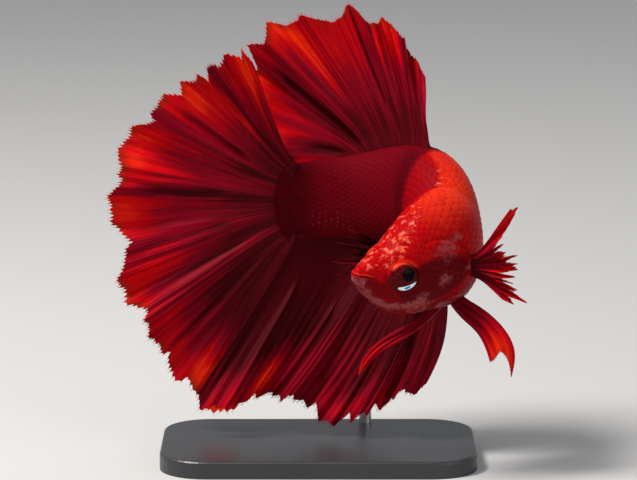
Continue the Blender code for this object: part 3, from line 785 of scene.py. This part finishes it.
# Each fan: where its base starts and ends on the body and how far round it is; rays as angle, length and
# how far the tip leans away; lobes of its margin; folds and pleats; creases as (across, half width, depth,
# start, end), with painted shade in them; and its spots of painted light and shade, as (across, along,
# half sizes, strength).
fans = {
    "dorsal": {
        "base": (0.568, 0.80, 90),
        "rays": (
            (97, 9.2, 3.4), (101, 14.2, 2.4), (105, 16.4, 1.1), (109, 17.6, -0.2), (111, 19.2, -1.2),
            (116, 18.8, -1.7), (123, 20.4, -1.4), (130, 21.2, -0.9), (139, 20.4, -0.2), (155, 16.0, 0.3),
            (195, 10.2, 0.3),
        ),
        "tuck": 0.8,
        "lobes": (0.0, 0.11, 0.28, 0.50, 0.66, 0.76, 0.84, 0.955, 1.0), "lobeDepth": 0.08, "peaked": True,
        "folds": 5, "foldDepth": 0.8, "pleat": 0.30, "count": 15, "tips": 0.35, "fringe": 0.22,
        "creases": (
            (0.812, 0.020, 1.5, 0.0, 0.85), (0.40, 0.012, 0.6, 0.2, 1.1), (0.955, 0.012, 0.8, 0.1, 0.9),
        ),
        "lightSpots": (
            (0.93, 0.78, 0.045, 0.24, 1.0), (0.985, 0.45, 0.025, 0.3, 0.3), (0.70, 0.93, 0.06, 0.10, 0.6),
            (0.55, 0.80, 0.03, 0.25, 0.7), (0.30, 0.88, 0.10, 0.14, 0.5), (0.66, 0.72, 0.02, 0.3, 0.5),
            (0.56, 0.62, 0.10, 0.30, 0.4), (0.10, 0.75, 0.08, 0.25, 0.4), (0.86, 0.95, 0.05, 0.12, 0.7),
            (0.68, 0.60, 0.10, 0.40, 0.55), (0.20, 0.70, 0.10, 0.3, 0.3),
        ),
        "columns": 480, "rows": 52,
    },
    "anal": {
        "base": (0.42, 0.985, 270), "shade": 0.8,
        "rays": (
            (259, 15.6, -1.1), (255, 19.9, -2.2), (251, 22.8, -1.6), (247, 25.0, -1.2), (243, 26.0, -2.0),
            (239, 24.4, -2.5), (237, 24.0, -3.4), (237, 23.4, -4.3), (239, 23.4, -4.8), (239, 25.0, -4.8),
            (237, 24.6, -4.6),
        ),
        "lobes": (0.0, 0.09, 0.18, 0.30, 0.46, 0.56, 0.66, 0.77, 0.89, 1.0), "lobeDepth": 0.045,
        "peaked": False, "folds": 4, "foldDepth": 0.9, "pleat": 0.15, "bow": 18.0, "count": 15,
        "tips": 0.95, "fringe": 0.14,
        "creases": (
            (0.66, 0.012, 0.9, 0.35, 1.1), (0.46, 0.010, 0.5, 0.3, 1.0), (0.27, 0.012, 0.7, 0.3, 1.0),
            (0.885, 0.012, 0.8, 0.2, 1.1),
        ),
        "lightSpots": (
            (0.77, 0.87, 0.07, 0.20, 2.2), (0.93, 0.93, 0.04, 0.16, 1.2), (0.55, 0.75, 0.09, 0.25, 0.7),
            (0.36, 0.93, 0.10, 0.07, 1.0), (0.16, 0.80, 0.08, 0.3, 0.6), (0.90, 0.35, 0.15, 0.35, -1.0),
            (0.30, 0.55, 0.12, 0.25, -0.5),
        ),
        "columns": 620, "rows": 60,
    },
    "caudal": {
        "rays": (
            (105.5, 16.8, -7.3), (121, 18.0, -5.2), (135, 18.9, -3.5), (148, 20.6, -2.9), (162, 22.2, -2.3),
            (179, 23.2, -1.7), (194, 22.2, -1.7), (205, 24.0, -1.5), (218, 23.2, -1.2), (230, 24.6, -0.6),
            (253, 25.6, 0.8),
        ),
        "lobes": (0.0, 0.05, 0.14, 0.24, 0.32, 0.46, 0.585, 0.76, 0.88, 0.93, 1.0), "lobeDepth": 0.07,
        "peaked": False, "folds": 6, "foldDepth": 0.9, "pleat": 0.32, "count": 20,
        "tips": 0.75, "fringe": 0.42,
        "creases": (
            (0.275, 0.013, 0.8, 0.25, 0.92), (0.475, 0.014, 0.9, 0.3, 0.95), (0.60, 0.010, 0.5, 0.3, 1.0),
            (0.115, 0.010, 0.6, 0.2, 0.9), (0.73, 0.010, 0.5, 0.2, 1.0), (0.875, 0.012, 0.6, 0.2, 1.0),
        ),
        "lightSpots": (
            (0.945, 0.90, 0.05, 0.14, 1.2), (0.99, 0.88, 0.03, 0.22, 1.4), (0.225, 0.88, 0.035, 0.14, 1.0),
            (0.14, 0.50, 0.010, 0.14, 1.0), (0.42, 0.90, 0.03, 0.10, 0.8), (0.53, 0.90, 0.04, 0.12, 0.9),
            (0.06, 0.85, 0.04, 0.2, 0.7), (0.68, 0.78, 0.03, 0.22, 0.5), (0.82, 0.86, 0.03, 0.14, 0.6),
            (0.36, 0.88, 0.03, 0.12, 0.6), (0.17, 0.62, 0.06, 0.30, 0.70), (0.03, 0.90, 0.03, 0.2, 0.6),
            (0.86, 0.45, 0.10, 0.35, -0.4), (0.06, 0.60, 0.07, 0.40, 0.65), (0.97, 0.30, 0.13, 0.35, -0.9),
            (0.30, 0.60, 0.10, 0.40, 0.25),
        ),
        "columns": 820, "rows": 56,
    },
}


def backRoot(fin):
    start, end, turn = fin["base"]

    def at(across, out):
        return bodyPoint(start + (end - start) * across, turn, out)

    return at


def tailRoot(across, out):
    over, under, _ = outlineAt(1)
    bulge = 0.3 * np.sin(np.pi * across)
    here, forward, _, up = bodyFrame(1)
    rise = (over - (over + under) * across) * 0.97
    return here - forward * (out + bulge)[..., None] + up * rise[..., None]


def tipRandom(count, spread, draw):
    # a random number round 1 for each tip, read by its number
    numbers = np.random.default_rng(seed + draw).uniform(1 - spread, 1 + spread, count + 2)
    return lambda index: numbers[np.clip(index.astype(int), 0, count + 1)]


def lobeShare(across, fin):
    edges = np.array(fin["lobes"])
    here = np.clip(np.searchsorted(edges, across, "right") - 1, 0, len(edges) - 2)
    part = (across - edges[here]) / (edges[here + 1] - edges[here])
    if fin["peaked"]:
        return 1 - fin["lobeDepth"] * (1 - (1 - np.abs(2 * part - 1)) ** 1.5)
    return 1 - fin["lobeDepth"] * (1 - np.clip(np.sin(np.pi * part), 0, 1) ** 0.6)


def ragged(across, count, depth, draw):
    # pointed tips with hollows between them, in millimetres
    spot = across * count
    away = np.abs(2 * (spot % 1) - 1)
    return depth * tipRandom(count, 0.45, draw)(spot) * (1 - (1 - away) ** 1.7)


def triangle(x):
    return 1 - 4 * np.abs((x % 1) - 0.5)


def evenRays(fin):
    # rays stand at uneven distances: turns a place across the fin into its place among the rays, and back
    widths = np.random.default_rng(seed + 11).uniform(0.65, 1.35, fin["count"])
    edges = np.concatenate([[0], np.cumsum(widths) / widths.sum()])
    level = np.linspace(0, 1, len(edges))
    return lambda across: np.interp(across, edges, level), lambda even: np.interp(even, level, edges)


def fanSurface(fin, rootAt):
    rayAt = guide(fin["rays"])
    count, nudge = fin["count"], 1e-3
    rng = np.random.default_rng(seed + 5)
    swell, drift, ruffle = (guide(rng.uniform(low, 1, max(count // 2, 6))) for low in (0.25, -1, -1))
    even, _ = evenRays(fin)

    def rays(across, along, length):
        ray = rayAt(across)
        reach = length * along
        turn = np.radians(ray[..., 0] + fin.get("bow", 0) * (1 - across) * (1 - along))
        return np.stack([np.cos(turn) * reach, ray[..., 2] * along, np.sin(turn) * reach], axis=-1)

    def flat(across, along):
        number = even(across)
        length = rayAt(across)[..., 1] * lobeShare(across, fin)
        length = length - ragged(number, count, fin["tips"], 1) - ragged(number, count * 8, fin["fringe"], 2)
        clear = finClear - fin.get("tuck", 0) * ease(0.90, 1.0, across)
        outer, inner = rootAt(across, clear), rootAt(across, clear - 1.1)
        return outer + rays(across, along, length) + (inner - outer) * ((1 - along) ** 8)[..., None]

    def smooth(across, along):
        return rootAt(across, np.full(across.shape, finClear)) + rays(across, along, rayAt(across)[..., 1])

    def normal(across, along):
        low, high = np.maximum(across - nudge * 6, 0), np.minimum(across + nudge * 6, 1)
        mid = np.maximum(along, 0.35)
        side = smooth(high, mid) - smooth(low, mid)
        out = smooth(across, np.ones_like(along)) - smooth(across, np.zeros_like(along))
        return unit(np.cross(side, out))

    def wave(across, along):
        # the push along the normal, and how far up the folds each point is, which sets the painted fold light
        # and shade
        number = even(across) * count
        wander = drift(across)[..., 0]
        big = np.sin(2 * np.pi * fin["folds"] * across + ripples["wander"] * wander) * along**1.3
        x = number / 2 + ripples["drift"] * wander * along
        pleat = ripples["sharp"] * triangle(x) + (1 - ripples["sharp"]) * np.sin(2 * np.pi * (x - 0.25))
        pleat = pleat * swell(across)[..., 0] * along**0.7
        small = triangle(number * 2) * ease(0.25, 0.8, along)
        turn = 2 * np.pi * (fin["folds"] * ripples["curls"] * across + 0.35 * along)
        curl = np.sin(turn + 2 * ruffle(across)[..., 0]) * ease(0.55, 1.05, along)
        push = big * fin["foldDepth"] + pleat * fin["pleat"] + small * ripples["small"]
        shares = ripples["crest"]
        crest = 0.5 + shares[0] * big + shares[1] * pleat + shares[2] * small
        return push + curl * ripples["curl"], crest

    def surface(across, along):
        push, crest = wave(across, along)
        push = push + ripples["crease"] * creased(fin, across, along)[1]
        way = normal(across, along)
        return flat(across, along) + way * push[..., None], way, crest

    return surface


def creased(fin, across, along):
    # how dark the painted shade is at each point, in the narrow creases and over a shaded fan, and how deep
    # the creases are
    dark, deep = np.full(across.shape, fin.get("shade", 0.0)), np.zeros(across.shape)
    for middle, width, depth, start, end in fin.get("creases", ()):
        line = bell(across, middle, width) * ease(start, start + 0.15, along) * ease(end, end - 0.2, along)
        dark = np.maximum(dark, line * min(depth, 1))
        deep = deep + line * depth
    return dark, deep


def paintedLightOn(fin, across, along):
    # painted light and shade on a fin: a ramp out along it, and bright and dark spots
    lightAndShade = np.interp(along, (0.4, 0.8), fin.get("paintedLight", (0, 0)))
    for middle, up, wide, tall, strength in fin.get("lightSpots", ()):
        lightAndShade = lightAndShade + strength * bell(across, middle, wide) * bell(along, up, tall)
    return lightAndShade


def tinted(fin, across, along, crest, ray):
    # what the fins' finish reads at each point
    dark, lightAndShade = creased(fin, across, along)[0], paintedLightOn(fin, across, along)
    return {"across": across, "along": along, "crest": crest, "ray": ray, "lightAndShade": lightAndShade, "dark": dark}


finColors = {
    "deep": (0.070, 0.0002, 0.003),
    "crimson": (0.27, 0.0002, 0.012),
    "red": (0.67, 0.001, 0.006),
    "flame": (0.95, 0.032, 0.006),
    "edge": (0.24, 0.030, 0.005),
    "tip": (0.85, 0.24, 0.16),
}


def finFinish(name):
    made, tree = newFinish(name)
    across, along, crest, ray, lightAndShade, dark = read(tree, "across", "along", "crest", "ray", "lightAndShade", "dark")
    streak = noise(tree, spotOf(tree, across * 62.0, along * 1.5, 0.3), 1.0, 4.0, 0.55)
    panel = noise(tree, spotOf(tree, across * 22.0, along * 1.1, 4.3), 1.0, 2.0)
    cloud = noise(tree, objectPlace(tree), 150.0)
    # the colour's level: crest paints light up the folds and shade down them, dark paints shade, and the
    # spots paint light and shade
    level = along * 0.75 + (streak - 0.5) * (1.3 - dark * 0.7) + (panel - 0.5) * 0.8 + (crest - 0.5) * 0.4
    level = level + (cloud - 0.5) * 0.35 + lightAndShade * 0.42 - dark * 0.5
    color = mixColor(tree, level.between(0.0, 0.5), finColors["deep"], finColors["crimson"])
    color = mixColor(tree, level.between(0.48, 0.98), color, finColors["red"])
    # flame where the painted light is strongest
    color = mixColor(tree, (level + lightAndShade * 0.10).between(1.0, 1.45), color, finColors["flame"])
    edge = (along + (panel - 0.5) * 0.06).between(0.945, 0.995)
    # the margin's tint and the pale ray tips fade under the painted shade
    lively = (1 - dark * 1.5).clip()
    color = mixColor(tree, edge * panel.between(0.4, 0.65) * lively * 0.5, color, finColors["edge"])
    lit = ray * (along * 0.04 + along.between(0.90, 1.0) * (0.2 + panel.between(0.45, 0.7) * 0.45))
    color = mixColor(tree, lit * lively, color, finColors["tip"])
    satin = {"Roughness": 0.45 + streak * 0.2, "Specular IOR Level": 0.06}
    gloss = glossy(tree, {"Base Color": color, "Normal": bump(tree, streak, 0.05), **satin})
    through = addNode(tree, "ShaderNodeBsdfTranslucent", {}, {"Color": color})
    shader = addNode(tree, "ShaderNodeMixShader", {}, {0: 0.12 + along * 0.28, 1: gloss, 2: through})
    endAt(tree, shader)
    return made


finWeb = finFinish("finWeb")
rayShape = {
    "splits": (0.0, 0.28, 0.54, 0.78, 1.02),  # where along the fin the forks are
    "bend": 0.40,  # how far along it a branch takes to reach its own line
    "overlap": 0.02, "steps": 14, "around": 6,
    "radius": ((0, 0.3, 0.7, 1.0), (0.085, 0.065, 0.045, 0.022)),
}


def rayTubes(name, surface, fin):
    # rays that fork on their way to the margin, each length of them a thin tube
    splits, steps, around = rayShape["splits"], rayShape["steps"], rayShape["around"]
    turn = np.arange(around)[:, None] * 2 * np.pi / around
    last = len(splits) - 2
    parts = []
    for level in range(last + 1):
        number, forks = np.arange(fin["count"] * 2**level)[:, None], np.arange(level + 1)
        lines = evenRays(fin)[1](((number >> (level - forks)) + 0.5) / (fin["count"] * 2**forks))
        end = splits[level + 1] + (rayShape["overlap"] if level < last else 0)
        along = np.linspace(splits[level], end, steps)[None, :].repeat(len(lines), 0)
        across = lines[:, :1].repeat(steps, 1)
        for k in range(1, level + 1):
            apart = lines[:, k : k + 1] - lines[:, k - 1 : k]
            across = across + apart * ease(splits[k], splits[k] + rayShape["bend"], along)
        points, way, _ = surface(np.clip(across, 0, 1), along)
        side = unit(np.cross(unit(np.gradient(points, axis=1)), way))
        size = np.interp(along, *rayShape["radius"])[:, :, None, None]
        ring = side[:, :, None] * np.cos(turn) * size + way[:, :, None] * np.sin(turn) * size
        spots = (np.broadcast_to(a[:, :, None], ring.shape[:3]) for a in (across, along))
        parts.append((points[:, :, None] + ring, *spots))
    rings, across, along = (np.concatenate(part) for part in zip(*parts))
    ones = np.ones(across.shape)
    # the rays take the painted fold light of a point partway up a fold
    made = joinRings(name, rings, **tinted(fin, across, along, ones * 0.7, ones))
    closeUp(made)
    dress(made, finWeb)


webs = {
    "fan": {"crowding": 1.35, "wall": 0.09, "fleshEnd": 0.14, "fleshPower": 2},
    "ribbon": {"crowding": 1.0, "wall": 0.12, "fleshEnd": 0.20, "fleshPower": 1},
}


def makeFin(word, node, fin, surface, web, rays):
    # a web that is thin but for the flesh at its root, and the rays that lie in it
    made, across, along = newGrid(word + "_web", fin["columns"], fin["rows"])
    along = 1 - (1 - along) ** web["crowding"]
    points, _, crest = surface(across, along)
    place(made, points)
    keep(made, **tinted(fin, across, along, crest, np.zeros(len(across))))
    thicken(made, web["wall"], fin.get("flesh", 0.9), ease(web["fleshEnd"], 0.0, along) ** web["fleshPower"])
    dress(made, finWeb)
    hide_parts(node)
    rayTubes(word + "_rays", surface, rays)


pectoral = {
    "at": 0.302, "down": 1.9, "root": 1.2,
    "lobeDepth": 0.2, "peaked": True, "folds": 2.5, "foldDepth": 0.3, "pleat": 0.25, "flesh": 0.5,
    "columns": 240, "rows": 40,
}
# each pectoral's spots of painted light and shade are given as the fans' are
pectorals = {
    "left": {
        "side": 1,
        "rays": (
            (-39, 6.4, -2.7), (-24, 6.9, -2.4), (-8, 5.4, -2.1), (6, 6.2, -1.9), (22, 5.8, -1.9),
            (44, 5.4, -2.0), (58, 11.6, -2.5),
        ),
        "lobes": (0, 0.25, 0.42, 0.58, 0.74, 0.88, 1), "count": 12, "tips": 1.5, "fringe": 0.4,
        "lightSpots": ((0.35, 0.7, 0.5, 0.5, 0.4), (0.97, 0.6, 0.08, 0.5, 0.8)),
    },
    "right": {
        "side": -1,
        "rays": ((200, 8.4, -0.6), (190, 9.8, -0.8), (178, 10.4, -1.0), (166, 9.6, -1.0), (152, 8.8, -0.8)),
        "lobes": (0, 0.2, 0.4, 0.6, 0.8, 1), "count": 9, "tips": 3.6, "fringe": 0.7,
        "lightSpots": ((0.5, 1.0, 2.0, 0.6, -1.0),), "shade": 0.6,
    },
}
# Each pelvic fin is a ribbon along a line: its edge is the way its width lies, and its ends how far each
# strand of it runs along the line. The last pair of each is the painted light at 0.4 and at 0.8 of the way
# out.
pelvic = {"count": 4, "flesh": 0.5, "columns": 60, "rows": 120}
pelvics = {
    "left": {
        "root": (0.29, 291),
        "line": (
            (18.4, -7.0, -7.7), (20.3, -8.2, -9.0), (21.8, -9.0, -10.9), (22.5, -9.6, -12.9),
            (22.6, -9.8, -15.4),
        ),
        "halfWidths": (0.7, 1.15, 1.35, 1.6, 1.6, 1.1), "edge": (0.8, 0, 0.6),
        "ends": (0.84, 0.8, 0.74, 0.85, 1), "paintedLight": (0.45, 1.0),
    },
    "right": {
        "root": (0.285, 268),
        "line": ((12.1, -5.4, -9.8), (9.6, -5.4, -11.3), (6.9, -5.0, -13.3), (5.0, -4.5, -16.2)),
        "halfWidths": (0.4, 0.65, 0.75, 0.65, 0.3), "edge": (0.7, 0, -0.7), "ends": (0.9, 0.95, 1, 0.95, 0.9),
        "paintedLight": (0.3, 0.05),
    },
}


def sideRoot(side):
    def at(across, out):
        here, _, left, up = bodyFrame(pectoral["at"])
        reach = side * (outlineAt(pectoral["at"])[2] + out)
        rise = (2 * across - 1) * pectoral["root"] - pectoral["down"]
        return here + left * reach[..., None] + up * rise[..., None]

    return at


def ribbonSurface(fin):
    start = bodyPoint(*fin["root"], finClear)
    inner = bodyPoint(*fin["root"], -0.8)
    lineAt, widthAt, reachAt = guide((start, *fin["line"])), guide(fin["halfWidths"]), guide(fin["ends"])
    nudge = 1e-3
    edge = np.array(fin["edge"], float)

    def surface(across, along):
        reach = along * reachAt(across)[..., 0]
        ahead = unit(lineAt(np.minimum(reach + nudge, 1)) - lineAt(np.maximum(reach - nudge, 0)))
        over = unit(edge - ahead * (ahead @ edge)[..., None])
        way = unit(np.cross(ahead, over))
        pleat = triangle(across * 3) * 0.16 + np.sin(2 * np.pi * (across * 1.2 + along * 0.7)) * 0.2 * along
        points = lineAt(reach) + over * ((2 * across - 1) * widthAt(reach)[..., 0])[..., None]
        points = points + way * pleat[..., None] + (inner - start) * ((1 - along) ** 8)[..., None]
        # the last value is how far up the pleats each point is, for the painted fold light and shade
        return points, way, 0.5 + 0.5 * pleat / 0.3

    return surface


stand = {
    "paint": ((0.018, 0.019, 0.021), (0.030, 0.031, 0.034)),
    "steel": ((0.42, 0.42, 0.43), (0.62, 0.62, 0.64)),
    "brushing": (6000.0, 6000.0, 150.0),  # how fine the steel's lines are each way
}


def standFinishes():
    paint, tree = newFinish("satinCoat")
    spot = objectPlace(tree)
    peel, wide = noise(tree, spot, 900.0), noise(tree, spot, 60.0)
    color = mixColor(tree, wide, *stand["paint"])
    satin = {"Roughness": 0.30 + wide * 0.15, "Normal": bump(tree, peel, 0.02)}
    endAt(tree, glossy(tree, {"Base Color": color, **satin}))
    steel, tree = newFinish("brushedSteel")
    lines = noise(tree, stretched(tree, objectPlace(tree), stand["brushing"]), 1.0)
    color = mixColor(tree, lines, *stand["steel"])
    brushed = {"Metallic": 1.0, "Roughness": 0.22 + lines * 0.2, "Normal": bump(tree, lines, 0.01)}
    endAt(tree, glossy(tree, {"Base Color": color, **brushed}))
    for node, finish in (("stand_base", paint), ("stand_rod", steel)):
        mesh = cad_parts[node].data
        mesh.materials.clear()
        mesh.materials.append(finish)


studio = {
    "distance": 0.40, "elevation": 10.0, "lens": 180.8, "aim": (0.0, -0.004, 0.0288), "sensor": 36.0,
    "floor": (0.50, 0.495, 0.49), "air": (0.80, 0.82, 0.85), "airStrength": 0.50,
    "lights": (
        ("key", (-0.26, -0.12, 0.44), 0.16, 4.0, (1.0, 0.97, 0.93)),
        ("fill", (0.45, -0.40, 0.20), 0.35, 0.7, (0.95, 0.97, 1.0)),
        ("rim", (0.42, 0.62, 0.14), 0.20, 0.12, (1.0, 0.98, 0.96)),
    ),
}


def makeStudio():
    made, tree = newFinish("palePaper")
    grain = noise(tree, objectPlace(tree), 8.0, 2.0)
    tint = studio["floor"]
    color = mixColor(tree, grain, tint, tuple(part * 0.97 for part in tint))
    endAt(tree, glossy(tree, {"Base Color": color, "Roughness": 0.9}))
    bpy.ops.mesh.primitive_plane_add(size=6.0, location=(0, 0, 0))
    floor = bpy.context.object
    floor.name = "floor"
    floor.data.materials.append(made)

    world = bpy.data.worlds.new("air")
    world.use_nodes = True
    sky = world.node_tree.nodes["Background"]
    sky.inputs["Color"].default_value = (*studio["air"], 1)
    sky.inputs["Strength"].default_value = studio["airStrength"]
    bpy.context.scene.world = world

    aim = np.array(studio["aim"])
    for name, spot, size, power, tint in studio["lights"]:
        lamp = bpy.data.lights.new(name, "AREA")
        lamp.size, lamp.energy, lamp.color = size, power, tint
        holder = added(name, lamp)
        holder.location = spot
        away = unit(np.array(spot) - aim)
        holder.rotation_euler = (math.acos(away[2]), 0, math.atan2(away[1], away[0]) + math.pi / 2)

    lens = bpy.data.cameras.new("camera")
    lens.lens, lens.sensor_width = studio["lens"], studio["sensor"]
    lens.clip_start, lens.clip_end = 0.01, 20
    camera = added("camera", lens)
    tilt = math.radians(studio["elevation"])
    camera.location = aim + studio["distance"] * np.array((0, -math.cos(tilt), math.sin(tilt)))
    camera.rotation_euler = (math.pi / 2 - tilt, 0, 0)
    bpy.context.scene.camera = camera
    bpy.context.scene.view_settings.view_transform = "Standard"


makeStudio()
standFinishes()
print("studio and stand: ready")

makeSkin(skinFinish("wetSkin", False))
scaleSkin = skinFinish("wetScales", True)
roots = scaledPlaces(scaleRoots())
print("scales:", len(roots))
for word, start, end in scales["parts"]:
    inside = (roots[:, 1] >= start) & (roots[:, 1] < end)
    makeScales(word + "_scales", roots[inside], scaleSkin)

eyeGloss = eyeFinish()
for word, side in (("left", 1), ("right", -1)):
    makeEye(word, side, eyeGloss)

for word, fin in fans.items():
    rootAt = backRoot(fin) if "base" in fin else tailRoot
    makeFin(word, word + "_fin", fin, fanSurface(fin, rootAt), webs["fan"], fin)
for word, fin in pectorals.items():
    fin = {**pectoral, **fin}
    surface = fanSurface(fin, sideRoot(fin["side"]))
    makeFin(word + "_pectoral", "pectoral_fin_" + word, fin, surface, webs["fan"], fin)
for word, fin in pelvics.items():
    surface = ribbonSurface(fin)
    makeFin(word + "_pelvic", "pelvic_fin_" + word, {**pelvic, **fin}, surface, webs["ribbon"], pelvic)
